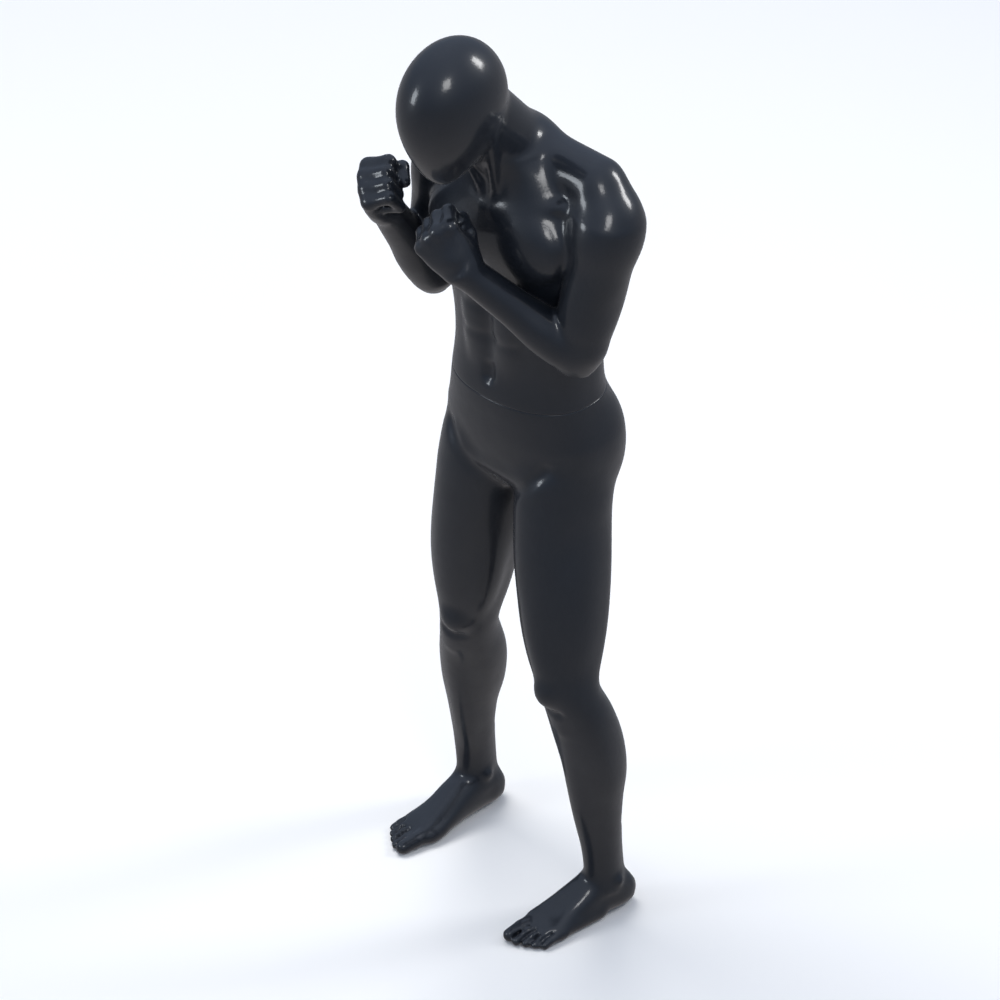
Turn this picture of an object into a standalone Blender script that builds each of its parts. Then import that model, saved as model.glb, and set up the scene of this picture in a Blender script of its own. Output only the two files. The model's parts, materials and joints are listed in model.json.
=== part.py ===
"""Boxing-guard display mannequin.

Hollow moulded shells, bonded into an upper and a lower body, on a keyed waist fitting.
Metres, +Z up. The figure faces -Y and its left side is +X. The soles rest on z = 0.
"""
import math

import bmesh
import bpy
from mathutils import Euler, Vector

# Driving dimensions
WALL = 0.005            # moulded shell thickness
GAP = 0.0003            # clearance left between bonded or resting pieces
PELVIS_X = -0.0037      # waist axis position over the middle of the footprint
PELVIS_Y = 0.0757
WAIST_Z = 1.050         # height of the seam between the upper and the lower body
LEFT_HEEL = (0.171, 0.078)      # back of each heel from the waist axis
RIGHT_HEEL = (-0.200, 0.147)
LEFT_TOE_ANGLE = -10.0          # degrees each foot is turned
RIGHT_TOE_ANGLE = -4.0
TRUNK_SIDES = 28        # facets round a trunk section
LIMB_SIDES = 16         # facets round a limb section
SQUARENESS = 2.3        # how boxy the trunk and hip sections are; 2 is an ellipse
TURNED_SIDES = 32       # facets round a turned metal piece
SCREW_SIDES = 10        # facets round a screw

# Waist fitting
BOARD_THICK = 0.015
BOARD_RECESS = 0.008    # from the seam plane to each board's face
FLANGE_R = 0.032
FLANGE_THICK = 0.004
COLLAR_R = 0.0195
COLLAR_THICK = 0.0045
WASHER_THICK = 0.0012
SHAFT_R = 0.0110
SHAFT_LENGTH = 0.040
BORE_R = 0.0112
BARREL_R = 0.0160
BARREL_LENGTH = 0.046
HEX_R = 0.0115          # corner radius of the spigot's key
HEX_BORE_R = 0.0119
HEX_LENGTH = 0.070
SOCKET_TUBE_R = 0.0170
SOCKET_TUBE_LENGTH = 0.074
SCREW_CIRCLE_R = 0.0260
SCREW_HEAD_R = 0.0038
SCREW_SHANK_R = 0.0019
SCREW_LENGTH = 0.016
SCREW_RIM = 0.0006      # straight rim of a screw head, above its cone
BARREL_FLOOR = 0.003    # closed end under the bore
EASE = 0.001            # eased edge at the end of the shaft
KEY_LEAD = 0.004        # tapered lead at the tip of the key
CUT_PAST = 0.010        # how far a cutter runs past the face it opens

# Base-rod socket in the left foot
ROD_X = 0.163
ROD_Y = 0.012
ROD_TUBE_R = 0.0085
ROD_BORE_R = 0.0065
ROD_TUBE_TOP = 0.120
SET_SCREW_R = 0.0030
SET_SCREW_Z = 0.042
SET_SCREW_LENGTH = 0.030
SET_SCREW_REACH = 0.080     # from the tube out through the heel
ROD_SIDES = 24
PIN_SIDES = 12

PAINT = (0.022, 0.024, 0.029, 1.0)
STEEL = (0.55, 0.56, 0.58, 1.0)
WOOD = (0.55, 0.38, 0.22, 1.0)
NYLON = (0.80, 0.79, 0.74, 1.0)


def material(name, colour, roughness, metallic):
    """A plain Principled material of this name."""
    made = bpy.data.materials.new(name)
    made.use_nodes = True
    shader = made.node_tree.nodes["Principled BSDF"]
    shader.inputs["Base Color"].default_value = colour
    shader.inputs["Roughness"].default_value = roughness
    shader.inputs["Metallic"].default_value = metallic
    return made


def add_object(name, mesh_data):
    """Link a mesh as a new object in the scene."""
    thing = bpy.data.objects.new(name, mesh_data)
    bpy.context.scene.collection.objects.link(thing)
    return thing


def loft(name, rings):
    """A closed solid through rings of equal point counts, with flat end caps."""
    shape = bmesh.new()
    loops = [[shape.verts.new(point) for point in ring] for ring in rings]
    count = len(loops[0])
    for lower, upper in zip(loops, loops[1:]):
        for i in range(count):
            j = (i + 1) % count
            shape.faces.new((lower[i], lower[j], upper[j]))
            shape.faces.new((lower[i], upper[j], upper[i]))
    shape.faces.new(list(reversed(loops[0])))
    shape.faces.new(loops[-1])
    bmesh.ops.recalc_face_normals(shape, faces=shape.faces)
    data = bpy.data.meshes.new(name)
    shape.to_mesh(data)
    shape.free()
    return add_object(name, data)


def section(centre, side, front, half_width, half_front, half_back, sides, squareness=2.0):
    """One ring: half_width to each side, half_front and half_back across it."""
    ring = []
    power = 2.0 / squareness
    for i in range(sides):
        angle = 2.0 * math.pi * i / sides
        c, s = math.cos(angle), math.sin(angle)
        across = math.copysign(abs(c) ** power, c) * half_width
        along = math.copysign(abs(s) ** power, s) * (half_front if s > 0 else half_back)
        ring.append(centre + side * across + front * along)
    return ring


def body_rings(stations, inset, sides, squareness=2.0):
    """Rings of a trunk or head: each station is (x, y, z, pitch, roll, width, front, back)."""
    rings = []
    for x, y, z, pitch, roll, width, front, back in stations:
        turn = Euler((math.radians(pitch), math.radians(roll), 0.0)).to_matrix()
        side_dir = turn @ Vector((-1.0, 0.0, 0.0))
        front_dir = turn @ Vector((0.0, -1.0, 0.0))
        centre = Vector((x + PELVIS_X, y + PELVIS_Y, z))
        rings.append(section(centre, side_dir, front_dir, width - inset, front - inset,
                             back - inset, sides, squareness))
    return rings


def limb_rings(stations, inset, front_hint, sides=LIMB_SIDES):
    """Rings square to a limb's line: each station is (x, y, z, width, front, back)."""
    centres = [Vector((s[0] + PELVIS_X, s[1] + PELVIS_Y, s[2])) for s in stations]
    rings = []
    for i, station in enumerate(stations):
        before = centres[max(i - 1, 0)]
        after = centres[min(i + 1, len(centres) - 1)]
        tangent = (after - before).normalized()
        side_dir = tangent.cross(front_hint).normalized()
        front_dir = side_dir.cross(tangent).normalized()
        width, front, back = station[3:6]
        rings.append(section(centres[i], side_dir, front_dir, width - inset, front - inset,
                             back - inset, sides))
    return rings


def box(name, low, high):
    """A cutter block between two corners, in the pelvis frame."""
    shape = bmesh.new()
    bmesh.ops.create_cube(shape, size=1.0)
    for vert in shape.verts:
        vert.co = Vector(((low[0] + high[0]) / 2 + vert.co.x * (high[0] - low[0]) + PELVIS_X,
                          (low[1] + high[1]) / 2 + vert.co.y * (high[1] - low[1]) + PELVIS_Y,
                          (low[2] + high[2]) / 2 + vert.co.z * (high[2] - low[2])))
    data = bpy.data.meshes.new(name)
    shape.to_mesh(data)
    shape.free()
    return add_object(name, data)


def turned(name, profile, x=0.0, y=0.0, sides=TURNED_SIDES):
    """A turned solid about a vertical axis from (radius, z) steps listed upwards."""
    rings = []
    for radius, z in profile:
        rings.append([Vector((x + PELVIS_X + radius * math.cos(2 * math.pi * i / sides),
                              y + PELVIS_Y + radius * math.sin(2 * math.pi * i / sides), z))
                      for i in range(sides)])
    return loft(name, rings)


def combine(target, tool, operation):
    """Apply an exact Boolean to target and drop the tool."""
    step = target.modifiers.new(operation, "BOOLEAN")
    step.operation = operation
    step.object = tool
    step.solver = "EXACT"
    graph = bpy.context.evaluated_depsgraph_get()
    result = bpy.data.meshes.new_from_object(target.evaluated_get(graph))
    target.modifiers.clear()
    target.data = result
    bpy.data.objects.remove(tool)
    return target


def finish(thing, paint, smooth=True):
    """Give a piece its material and its shading."""
    thing.data.materials.clear()
    thing.data.materials.append(paint)
    if smooth:
        thing.data.shade_smooth()
        thing.data.set_sharp_from_angle(angle=math.radians(35.0))
    return thing


# Body stations ---------------------------------------------------------------------------

# x, y, z, pitch, roll, half width, front, back
TRUNK = (
    (0.002, 0.000, 1.0500, 0, 0, 0.139, 0.105, 0.096),
    (0.002, -0.004, 1.110, 0, 0, 0.136, 0.102, 0.092),
    (0.002, -0.008, 1.180, 2, 0, 0.144, 0.112, 0.100),
    (0.006, -0.012, 1.260, 4, 2, 0.152, 0.116, 0.110),
    (0.012, -0.016, 1.340, 6, 4, 0.162, 0.126, 0.122),
    (0.018, -0.020, 1.400, 8, 6, 0.168, 0.126, 0.128),
    (0.023, -0.026, 1.450, 12, 7, 0.166, 0.110, 0.128),
    (0.025, -0.034, 1.492, 18, 7, 0.146, 0.092, 0.118),
    (0.022, -0.046, 1.525, 26, 5, 0.112, 0.078, 0.100),
    (0.014, -0.062, 1.552, 36, 2, 0.078, 0.070, 0.080),
)

NECK = (
    (0.0140, -0.0622, 1.5524, 36, 2, 0.072, 0.068, 0.070),
    (0.0100, -0.088, 1.582, 34, 0, 0.063, 0.062, 0.062),
    (0.0060, -0.112, 1.618, 30, 0, 0.062, 0.060, 0.062),
    (0.0000, -0.140, 1.665, 28, 0, 0.055, 0.055, 0.055),
)

# An egg, narrow at the chin, on the forward-leaning neck
HEAD_CENTRE = Vector((-0.012, -0.190, 1.669))
HEAD_PITCH = -6
HEAD_ROLL = 3.5
HEAD_HALF_HEIGHT = 0.143
HEAD_HALF_WIDTH = 0.080
HEAD_FRONT = 0.102
HEAD_BACK = 0.110
HEAD_TAPER = 0.21
HEAD_POINT = 0.17
HEAD_RINGS = 11

PELVIS = (
    (0.002, 0.000, 1.0497, 0, 0, 0.140, 0.105, 0.096),
    (0.001, 0.002, 1.010, 0, 0, 0.148, 0.104, 0.100),
    (0.000, 0.004, 0.965, 0, 0, 0.166, 0.103, 0.119),
    (0.000, 0.006, 0.920, 0, 0, 0.184, 0.104, 0.132),
    (0.001, 0.004, 0.885, 0, 0, 0.189, 0.104, 0.126),
    (0.002, 0.002, 0.862, 0, 0, 0.190, 0.103, 0.118),
)

# x, y, z, half width, front, back
LEFT_LEG = (
    (0.0955, -0.002, 0.8617, 0.0925, 0.099, 0.112),
    (0.100, -0.010, 0.800, 0.087, 0.096, 0.099),
    (0.108, -0.026, 0.720, 0.081, 0.090, 0.086),
    (0.122, -0.044, 0.640, 0.072, 0.082, 0.074),
    (0.140, -0.062, 0.565, 0.060, 0.068, 0.062),
    (0.155, -0.072, 0.505, 0.054, 0.056, 0.054),
    (0.162, -0.061, 0.455, 0.052, 0.054, 0.056),
    (0.168, -0.041, 0.390, 0.057, 0.048, 0.068),
    (0.170, -0.024, 0.320, 0.054, 0.046, 0.064),
    (0.168, -0.010, 0.240, 0.042, 0.040, 0.048),
    (0.164, 0.002, 0.160, 0.033, 0.036, 0.036),
    (0.162, 0.008, 0.105, 0.033, 0.040, 0.038),
    (0.162, 0.008, 0.060, 0.032, 0.040, 0.040),
)

RIGHT_LEG = (
    (-0.0935, 0.000, 0.8617, 0.0935, 0.099, 0.112),
    (-0.098, -0.002, 0.800, 0.089, 0.096, 0.099),
    (-0.106, -0.006, 0.720, 0.083, 0.090, 0.086),
    (-0.114, -0.010, 0.640, 0.074, 0.082, 0.074),
    (-0.121, -0.014, 0.565, 0.062, 0.068, 0.062),
    (-0.127, -0.014, 0.500, 0.057, 0.058, 0.056),
    (-0.138, -0.002, 0.450, 0.055, 0.056, 0.058),
    (-0.157, 0.020, 0.385, 0.058, 0.048, 0.068),
    (-0.174, 0.040, 0.315, 0.054, 0.046, 0.064),
    (-0.188, 0.058, 0.240, 0.042, 0.040, 0.048),
    (-0.199, 0.074, 0.160, 0.033, 0.036, 0.036),
    (-0.204, 0.083, 0.105, 0.033, 0.040, 0.038),
    (-0.205, 0.085, 0.060, 0.032, 0.040, 0.040),
)

LEG_CAVITY_STATIONS = 11    # the cavity ends above the ankle, and the foot is cast solid

LEFT_UPPER_ARM = (
    (0.196, -0.028, 1.554, 0.012, 0.014, 0.014),
    (0.198, -0.028, 1.546, 0.034, 0.036, 0.038),
    (0.203, -0.028, 1.524, 0.053, 0.055, 0.057),
    (0.210, -0.028, 1.480, 0.063, 0.064, 0.065),
    (0.210, -0.030, 1.430, 0.060, 0.062, 0.062),
    (0.204, -0.033, 1.375, 0.053, 0.056, 0.056),
    (0.198, -0.041, 1.316, 0.050, 0.054, 0.052),
    (0.190, -0.060, 1.256, 0.046, 0.048, 0.048),
    (0.182, -0.081, 1.210, 0.042, 0.042, 0.043),
    (0.181, -0.086, 1.186, 0.034, 0.031, 0.035),
    (0.180, -0.087, 1.174, 0.018, 0.016, 0.018),
)

LEFT_FOREARM = (
    (0.198, -0.073, 1.184, 0.018, 0.018, 0.018),
    (0.193, -0.077, 1.191, 0.032, 0.032, 0.032),
    (0.177, -0.090, 1.209, 0.041, 0.040, 0.040),
    (0.153, -0.108, 1.243, 0.042, 0.042, 0.041),
    (0.120, -0.138, 1.286, 0.037, 0.038, 0.036),
    (0.083, -0.172, 1.334, 0.031, 0.031, 0.029),
    (0.046, -0.206, 1.383, 0.029, 0.027, 0.026),
)

RIGHT_UPPER_ARM = (
    (-0.136, -0.030, 1.522, 0.012, 0.014, 0.014),
    (-0.138, -0.030, 1.514, 0.034, 0.036, 0.038),
    (-0.143, -0.030, 1.492, 0.053, 0.055, 0.057),
    (-0.151, -0.030, 1.448, 0.063, 0.064, 0.065),
    (-0.160, -0.028, 1.396, 0.060, 0.062, 0.062),
    (-0.170, -0.023, 1.338, 0.053, 0.056, 0.056),
    (-0.180, -0.018, 1.278, 0.050, 0.054, 0.052),
    (-0.194, -0.019, 1.218, 0.045, 0.047, 0.047),
    (-0.203, -0.019, 1.170, 0.041, 0.040, 0.042),
    (-0.206, -0.019, 1.143, 0.034, 0.030, 0.034),
    (-0.207, -0.019, 1.131, 0.018, 0.016, 0.018),
)

RIGHT_FOREARM = (
    (-0.207, 0.003, 1.134, 0.018, 0.018, 0.018),
    (-0.206, -0.004, 1.143, 0.032, 0.032, 0.032),
    (-0.205, -0.020, 1.166, 0.041, 0.041, 0.040),
    (-0.202, -0.044, 1.204, 0.042, 0.043, 0.041),
    (-0.199, -0.079, 1.260, 0.036, 0.037, 0.035),
    (-0.195, -0.115, 1.318, 0.029, 0.030, 0.028),
    (-0.191, -0.151, 1.375, 0.027, 0.026, 0.025),
)

LEFT_FIST = (
    (0.0455, -0.2065, 1.3836, 0.026, 0.026, 0.025),
    (0.036, -0.212, 1.397, 0.033, 0.027, 0.027),
    (0.023, -0.220, 1.415, 0.041, 0.033, 0.034),
    (0.009, -0.228, 1.434, 0.044, 0.038, 0.036),
    (-0.004, -0.236, 1.452, 0.043, 0.038, 0.035),
    (-0.012, -0.241, 1.463, 0.036, 0.028, 0.026),
)

RIGHT_FIST = (
    (-0.1910, -0.1513, 1.3754, 0.026, 0.026, 0.025),
    (-0.189, -0.160, 1.389, 0.031, 0.027, 0.027),
    (-0.187, -0.171, 1.407, 0.040, 0.034, 0.033),
    (-0.184, -0.184, 1.427, 0.045, 0.040, 0.038),
    (-0.181, -0.197, 1.447, 0.045, 0.040, 0.038),
    (-0.180, -0.203, 1.458, 0.036, 0.030, 0.028),
)

ELBOW_HINT = Vector((0.3, -1.0, 0.2))

# Foot sections from heel to toes: distance from the heel's back, centre offset to the
# medial side, half width, height
FOOT = (
    (0.008, 0.000, 0.018, 0.034),
    (0.022, 0.000, 0.028, 0.052),
    (0.050, 0.000, 0.031, 0.078),
    (0.085, 0.002, 0.032, 0.086),
    (0.120, 0.003, 0.036, 0.068),
    (0.155, 0.002, 0.042, 0.052),
    (0.190, -0.002, 0.047, 0.038),
    (0.220, -0.004, 0.046, 0.028),
    (0.243, 0.000, 0.040, 0.022),
    (0.258, 0.010, 0.026, 0.014),
)
FOOT_SIDES = 16
SOLE_CUT = 0.42         # share of a foot section's half height that the flat sole cuts off


def foot(name, heel, toe_angle, medial):
    """A solid foot from its heel; medial is +1 or -1, the side of the big toe in x."""
    turn = math.radians(toe_angle)
    forward = Vector((math.sin(turn), -math.cos(turn), 0.0))
    inward = Vector((math.cos(turn), math.sin(turn), 0.0)) * medial
    rings = []
    for distance, offset, half_width, height in FOOT:
        base = Vector((heel[0] + PELVIS_X, heel[1] + PELVIS_Y, 0.0)) + forward * distance
        ring = []
        for i in range(FOOT_SIDES):
            angle = 2 * math.pi * i / FOOT_SIDES
            across = math.cos(angle) * half_width + offset
            lift = max(math.sin(angle), -SOLE_CUT)
            rise = height * (lift + SOLE_CUT) / (1 + SOLE_CUT)
            ring.append(base + inward * across + Vector((0, 0, rise)))
        rings.append(ring)
    return loft(name, rings)


def outward(ring, neighbour):
    """The unit normal of a ring's plane that points away from its neighbour."""
    quarter = len(ring) // 4
    normal = (ring[0] - ring[2 * quarter]).cross(ring[quarter] - ring[3 * quarter]).normalized()
    return normal if normal.dot(ring[0] - neighbour[0]) > 0 else -normal


def extended(rings, first=0.0, last=0.0):
    """Rings with the end ones repeated further out, square to their planes."""
    out = list(rings)
    if first:
        step = outward(rings[0], rings[1]) * first
        out.insert(0, [point + step for point in rings[0]])
    if last:
        step = outward(rings[-1], rings[-2]) * last
        out.append([point + step for point in rings[-1]])
    return out


def leg(name, stations, heel, toe_angle, medial, paint):
    """A leg shell with a solid foot, open at the thigh."""
    hint = Vector((0, -1, 0))
    shell = loft(name, extended(limb_rings(stations, 0.0, hint), first=0.03))
    combine(shell, foot(name + "_foot", heel, toe_angle, medial), "UNION")
    inner = limb_rings(stations[:LEG_CAVITY_STATIONS], WALL, hint)
    combine(shell, loft(name + "_cavity", extended(inner, first=0.06)), "DIFFERENCE")
    top = stations[0][2]
    combine(shell, box(name + "_top", (-0.4, -0.3, top), (0.4, 0.3, top + 0.2)), "DIFFERENCE")
    return finish(shell, paint)


def arm(name, upper, fore, paint):
    """An arm shell saddled on the torso, open at the wrist."""
    shell = loft(name, limb_rings(upper, 0.0, ELBOW_HINT))
    combine(shell, loft(name + "_fore", limb_rings(fore, 0.0, ELBOW_HINT)), "UNION")
    cavity = loft(name + "_cavity", limb_rings(upper, WALL, ELBOW_HINT)[1:-1])
    inner = extended(limb_rings(fore, WALL, ELBOW_HINT)[1:], last=0.02)
    combine(cavity, loft(name + "_fore_cavity", inner), "UNION")
    combine(shell, cavity, "DIFFERENCE")
    saddle = loft(name + "_saddle", body_rings(TRUNK, -2 * GAP, TRUNK_SIDES, SQUARENESS))
    combine(shell, saddle, "DIFFERENCE")
    return finish(shell, paint)


def fist(name, stations, fore, paint):
    """A cast fist that butts on the end of its forearm."""
    solid = loft(name, limb_rings(stations, 0.0, ELBOW_HINT))
    seat = extended(limb_rings(fore, -GAP, ELBOW_HINT), last=GAP)
    combine(solid, loft(name + "_seat", seat[-4:]), "DIFFERENCE")
    return finish(solid, paint)


def hollow_trunk(name, stations, paint, squareness):
    """A trunk shell open at both ends."""
    shell = loft(name, body_rings(stations, 0.0, TRUNK_SIDES, squareness))
    inner = extended(body_rings(stations, WALL, TRUNK_SIDES, squareness), WALL, WALL)
    combine(shell, loft(name + "_cavity", inner), "DIFFERENCE")
    return finish(shell, paint)


def head_stations():
    """Stations up the egg, from the chin to the crown, square to its tilted axis."""
    turn = Euler((math.radians(HEAD_PITCH), math.radians(HEAD_ROLL), 0.0))
    axis = turn.to_matrix() @ Vector((0.0, 0.0, 1.0))
    rows = []
    for i in range(HEAD_RINGS):
        share = -math.cos(math.pi * (i + 0.5) / HEAD_RINGS)
        round_off = math.sqrt(1.0 - share ** 2)
        grow = (1.0 + HEAD_TAPER * share - HEAD_POINT * share ** 2) * round_off
        centre = HEAD_CENTRE + axis * (HEAD_HALF_HEIGHT * share)
        rows.append((*centre, HEAD_PITCH, HEAD_ROLL, HEAD_HALF_WIDTH * grow,
                     HEAD_FRONT * grow, HEAD_BACK * grow))
    return rows


def head(paint):
    """The head and neck in one shell, open where the neck meets the torso."""
    stations = head_stations()
    shell = loft("head_shell", body_rings(stations, 0.0, TRUNK_SIDES))
    combine(shell, loft("neck_outer", body_rings(NECK, 0.0, TRUNK_SIDES)), "UNION")
    cavity = loft("head_cavity", body_rings(stations, 2 * WALL, TRUNK_SIDES)[1:-1])
    neck_inner = extended(body_rings(NECK, WALL, TRUNK_SIDES), first=WALL)
    combine(cavity, loft("neck_inner", neck_inner), "UNION")
    combine(shell, cavity, "DIFFERENCE")
    return finish(shell, paint)


def pelvis(paint):
    """The hip shell: open at the waist, with a floor that has a hole over each leg."""
    shell = loft("pelvis_shell", body_rings(PELVIS, 0.0, TRUNK_SIDES, SQUARENESS))
    inner = body_rings(PELVIS, WALL, TRUNK_SIDES, SQUARENESS)
    rise = Vector((0, 0, WALL))
    inner[0] = [point + rise for point in inner[0]]
    inner[-1] = [point + rise for point in inner[-1]]
    combine(shell, loft("pelvis_cavity", inner), "DIFFERENCE")
    for stations in (LEFT_LEG, RIGHT_LEG):
        x, y, z, width, front, back = stations[0]
        rim = 3 * WALL
        hole = [(x, y, z + step, 0, 0, width - rim, front - rim, back - rim)
                for step in (-0.02, 0.02)]
        combine(shell, loft("leg_hole", body_rings(hole, 0.0, LIMB_SIDES)), "DIFFERENCE")
    return finish(shell, paint)


def blend_station(stations, z):
    """The station at height z, worked out between its two neighbours."""
    ordered = sorted(stations, key=lambda s: s[2])
    for low, high in zip(ordered, ordered[1:]):
        if low[2] <= z <= high[2]:
            t = (z - low[2]) / (high[2] - low[2])
            return tuple(a + (b - a) * t for a, b in zip(low, high))
    raise ValueError("height outside the stations")


def waist_board(name, stations, bottom, hole_r, paint):
    """A plywood board that fills a shell at the waist, with a central hole."""
    levels = [blend_station(stations, z) for z in (bottom, bottom + BOARD_THICK)]
    levels = [level[:3] + (0, 0) + level[5:] for level in levels]
    board = loft(name, body_rings(levels, WALL + 3 * GAP, TRUNK_SIDES, SQUARENESS))
    hole = turned("hole", [(hole_r, bottom - CUT_PAST),
                           (hole_r, bottom + BOARD_THICK + CUT_PAST)])
    combine(board, hole, "DIFFERENCE")
    return finish(board, paint, smooth=False)


def screw_places():
    """The four screw positions round the waist axis."""
    for i in range(4):
        angle = math.radians(45 + 90 * i)
        yield i + 1, SCREW_CIRCLE_R * math.cos(angle), SCREW_CIRCLE_R * math.sin(angle)


def screw_profile(face, direction, grow):
    """A countersunk screw's steps from its head's face, in the direction it drives."""
    sink = SCREW_HEAD_R - SCREW_SHANK_R
    steps = [(SCREW_HEAD_R + grow, face - direction * grow * 4),
             (SCREW_HEAD_R + grow, face + direction * SCREW_RIM),
             (SCREW_SHANK_R + grow, face + direction * (SCREW_RIM + sink)),
             (SCREW_SHANK_R + grow, face + direction * (SCREW_LENGTH + grow))]
    return steps if direction > 0 else steps[::-1]


def screwed_flange(piece, boards, face, direction, stem, paint):
    """Drill a flange and its board, then add the four screws."""
    for number, x, y in screw_places():
        for part in (piece, *boards):
            drill = turned("drill", screw_profile(face, direction, GAP), x, y, SCREW_SIDES)
            combine(part, drill, "DIFFERENCE")
        screw = turned("%s_%d" % (stem, number),
                       screw_profile(face, direction, 0.0), x, y, SCREW_SIDES)
        finish(screw, paint)


def waist_fitting(steel, wood, nylon):
    """Boards, bushing, spigot, washer, socket and screws on the waist axis."""
    # Heights up the fitting, from the lower board to the upper one
    lower_face = WAIST_Z - BOARD_RECESS
    flange_low = lower_face + GAP
    flange_top = flange_low + FLANGE_THICK
    washer_low = flange_top + GAP
    collar_low = washer_low + WASHER_THICK + GAP
    collar_top = collar_low + COLLAR_THICK
    socket_low = collar_top + GAP
    socket_flange_top = socket_low + FLANGE_THICK
    upper_face = socket_flange_top + GAP

    board = waist_board("lower_waist_board", PELVIS, lower_face - BOARD_THICK,
                        BARREL_R + GAP, wood)
    bushing = turned("lower_waist_bushing",
                     [(BARREL_R, flange_low - BARREL_LENGTH), (BARREL_R, flange_low),
                      (FLANGE_R, flange_low), (FLANGE_R, flange_top)])
    bore = turned("bore", [(BORE_R, flange_low - BARREL_LENGTH + BARREL_FLOOR),
                           (BORE_R, flange_top + CUT_PAST)])
    combine(bushing, bore, "DIFFERENCE")
    screwed_flange(bushing, [board], flange_top, -1, "lower_bushing_screw", steel)
    finish(bushing, steel)

    washer = turned("waist_thrust_washer",
                    [(COLLAR_R, washer_low), (COLLAR_R, washer_low + WASHER_THICK)])
    eye = turned("eye", [(BORE_R, washer_low - CUT_PAST), (BORE_R, washer_low + CUT_PAST)])
    combine(washer, eye, "DIFFERENCE")
    finish(washer, nylon)

    spigot = turned("waist_spigot",
                    [(SHAFT_R - EASE, collar_low - SHAFT_LENGTH),
                     (SHAFT_R, collar_low - SHAFT_LENGTH + EASE), (SHAFT_R, collar_low),
                     (COLLAR_R, collar_low), (COLLAR_R, collar_top)])
    key = turned("key", [(HEX_R, collar_top - EASE), (HEX_R, collar_top + HEX_LENGTH - KEY_LEAD),
                         (HEX_R - KEY_LEAD, collar_top + HEX_LENGTH)], sides=6)
    combine(spigot, key, "UNION")
    finish(spigot, steel)

    socket = turned("upper_waist_socket",
                    [(FLANGE_R, socket_low), (FLANGE_R, socket_flange_top),
                     (SOCKET_TUBE_R, socket_flange_top),
                     (SOCKET_TUBE_R, socket_low + SOCKET_TUBE_LENGTH)])
    key_hole = turned("key_hole", [(HEX_BORE_R, socket_low - CUT_PAST),
                                   (HEX_BORE_R, socket_low + SOCKET_TUBE_LENGTH + CUT_PAST)],
                      sides=6)
    combine(socket, key_hole, "DIFFERENCE")
    upper_board = waist_board("upper_waist_board", TRUNK, upper_face, SOCKET_TUBE_R + GAP, wood)
    screwed_flange(socket, [upper_board], socket_low, 1, "upper_socket_screw", steel)
    finish(socket, steel)


def rod_socket(left_leg, steel):
    """The base-rod tube in the left foot, and its set screw at the heel."""
    space = turned("space", [(ROD_TUBE_R + GAP, -CUT_PAST),
                             (ROD_TUBE_R + GAP, ROD_TUBE_TOP + 2 * CUT_PAST)],
                   ROD_X, ROD_Y, ROD_SIDES)
    combine(left_leg, space, "DIFFERENCE")
    tube = turned("foot_socket_tube", [(ROD_TUBE_R, GAP), (ROD_TUBE_R, ROD_TUBE_TOP)],
                  ROD_X, ROD_Y, ROD_SIDES)
    bore = turned("bore", [(ROD_BORE_R, -CUT_PAST), (ROD_BORE_R, ROD_TUBE_TOP + CUT_PAST)],
                  ROD_X, ROD_Y, ROD_SIDES)
    combine(tube, bore, "DIFFERENCE")
    finish(tube, steel)

    def grub(name, radius, y_from, y_to):
        """A horizontal pin along +Y at the set screw's height."""
        rings = []
        for y in (y_from, y_to):
            ring = []
            for i in range(PIN_SIDES):
                angle = 2 * math.pi * i / PIN_SIDES
                ring.append(Vector((ROD_X + PELVIS_X + radius * math.cos(angle), y + PELVIS_Y,
                                    SET_SCREW_Z + radius * math.sin(angle))))
            rings.append(ring)
        return loft(name, rings)

    start = ROD_Y + ROD_TUBE_R
    hole = grub("screw_hole", SET_SCREW_R + GAP, start - EASE, start + SET_SCREW_REACH)
    combine(left_leg, hole, "DIFFERENCE")
    screw = grub("foot_set_screw", SET_SCREW_R, start + GAP, start + SET_SCREW_LENGTH)
    finish(screw, steel)


def build():
    """Make every piece of the mannequin."""
    for old in list(bpy.data.objects):
        bpy.data.objects.remove(old)
    paint = material("anthracite_gloss_paint", PAINT, 0.22, 0.0)
    steel = material("zinc_steel", STEEL, 0.32, 1.0)
    wood = material("birch_plywood", WOOD, 0.65, 0.0)
    nylon = material("white_nylon", NYLON, 0.45, 0.0)

    hollow_trunk("torso_shell", TRUNK, paint, SQUARENESS)
    head(paint)
    arm("left_arm_shell", LEFT_UPPER_ARM, LEFT_FOREARM, paint)
    arm("right_arm_shell", RIGHT_UPPER_ARM, RIGHT_FOREARM, paint)
    fist("left_fist", LEFT_FIST, LEFT_FOREARM, paint)
    fist("right_fist", RIGHT_FIST, RIGHT_FOREARM, paint)
    pelvis(paint)
    left_leg = leg("left_leg_shell", LEFT_LEG, LEFT_HEEL, LEFT_TOE_ANGLE, -1, paint)
    leg("right_leg_shell", RIGHT_LEG, RIGHT_HEEL, RIGHT_TOE_ANGLE, 1, paint)
    waist_fitting(steel, wood, nylon)
    rod_socket(left_leg, steel)


build()
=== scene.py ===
"""Boxing-guard display mannequin: the moulded skin, its paint and a plain studio.

The skin is sculpted as one field of signed distances, cut at the waist seam and dressed over
the CAD shells. Its own frame has the pelvis axis at x = y = 0; the waist joint gives the offset
to the row frame. The figure faces -Y and its left side is +X.
"""
import json
import math

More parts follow.
